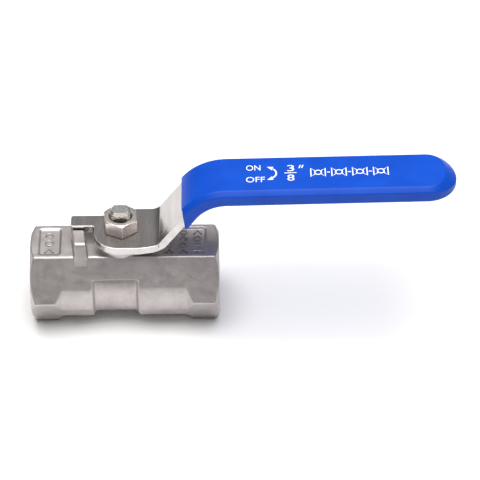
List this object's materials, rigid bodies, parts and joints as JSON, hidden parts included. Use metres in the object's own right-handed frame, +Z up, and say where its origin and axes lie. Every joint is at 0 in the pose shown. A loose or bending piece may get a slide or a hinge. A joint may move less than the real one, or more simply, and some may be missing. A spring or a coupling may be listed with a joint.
{
  "type": "ball valve",
  "caption": "Stainless reduced-port ball valve, its body cast in one piece, with hexagonal ends, threaded ports and a bent lever handle in a blue vinyl sleeve, shown open.",
  "frame": {"origin": "centre of the inlet port's mouth, on the flow line", "axes": "+X along the flow from the inlet port to the outlet port, +Z up the stem, lever along +X while the valve is open"},
  "size_m": [0.105, 0.024, 0.0429],
  "materials": {
    "cast_stainless": "investment-cast, tumbled satin",
    "turned_stainless": "turned",
    "pressed_stainless": "pressed sheet, brushed, with bright sheared edges",
    "nut_stainless": "cold formed",
    "polished_ball": "polished",
    "seat_plastic": "white fluoropolymer",
    "blue_vinyl": "glossy dipped vinyl with white print"
  },
  "bodies": {
    "valve_body": {"body": "cast_stainless", "end_insert": "turned_stainless", "inlet_seat": "seat_plastic", "outlet_seat": "seat_plastic", "thrust_washer": "seat_plastic", "packing_ring_1": "seat_plastic", "packing_ring_2": "seat_plastic", "packing_gland": "turned_stainless"},
    "lever": {"stem": "turned_stainless", "lever_blade": "pressed_stainless", "lever_sleeve": "blue_vinyl", "lever_nut": "nut_stainless"},
    "ball": {"ball": "polished_ball"}
  },
  "joints": [
    {"name": "lever_turn", "type": "hinge", "parent": "valve_body", "child": "lever", "pos_m": [0.0227, 0, 0], "axis": [0, 0, 1], "range_deg": [-90, 0]},
    {"name": "ball_turn", "type": "hinge", "parent": "valve_body", "child": "ball", "pos_m": [0.0227, 0, 0], "axis": [0, 0, 1], "range_deg": [-90, 0]}
  ],
  "couplings": [
    {"joint": "ball_turn", "follows": "lever_turn", "ratio": 1}
  ]
}
